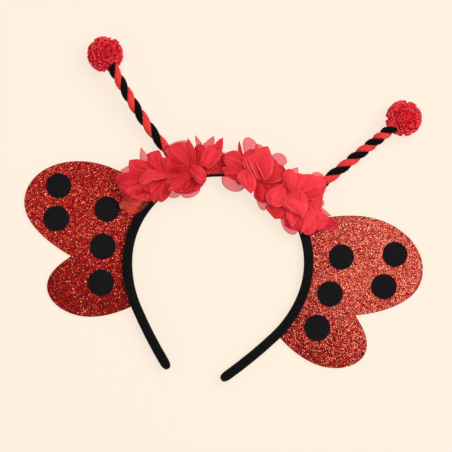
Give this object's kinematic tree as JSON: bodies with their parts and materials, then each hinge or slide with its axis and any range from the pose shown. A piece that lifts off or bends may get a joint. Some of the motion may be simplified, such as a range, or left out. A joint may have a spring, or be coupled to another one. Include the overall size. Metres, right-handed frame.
{
  "type": "ladybug headband",
  "caption": "Costume headband: a cloth-wrapped hoop with red glitter ladybug wings with black spots, chiffon flowers, and twisted chenille antennae tipped with pompoms.",
  "frame": {"origin": "bottom centre of the box of the headband lying on its back", "axes": "+X across the wings to the right as seen from the front, +Y from the leg tips to the crown, +Z out of the front"},
  "size_m": [0.2924, 0.2244, 0.0257],
  "materials": {
    "velvet_black": "matt velvety cloth wrap",
    "felt_black": "matt felt",
    "glitter_red": "coarse red glitter on a cloth sheet",
    "chenille_black": "short fuzzy pile",
    "chenille_red": "short fuzzy pile",
    "ruffle_red": "gathered gauze",
    "net_red": "stiff net",
    "chiffon_red": "sheer woven chiffon"
  },
  "bodies": {
    "root": {"hoop": "velvet_black", "wing_left_backing": "felt_black", "wing_left_glitter": "glitter_red", "wing_left_dot_1": "felt_black", "wing_left_dot_2": "felt_black", "wing_left_dot_3": "felt_black", "wing_left_dot_4": "felt_black", "wing_left_dot_5": "felt_black", "antenna_left_black": "chenille_black", "antenna_left_red": "chenille_red", "pompom_left": "ruffle_red", "wing_right_backing": "felt_black", "wing_right_glitter": "glitter_red", "wing_right_dot_1": "felt_black", "wing_right_dot_2": "felt_black", "wing_right_dot_3": "felt_black", "wing_right_dot_4": "felt_black", "wing_right_dot_5": "felt_black", "antenna_right_black": "chenille_black", "antenna_right_red": "chenille_red", "pompom_right": "ruffle_red", "flower_tape": "net_red", "flower_outer_left": "chiffon_red", "flower_inner_left": "chiffon_red", "flower_inner_right": "chiffon_red", "flower_outer_right": "chiffon_red"}
  },
  "joints": []
}
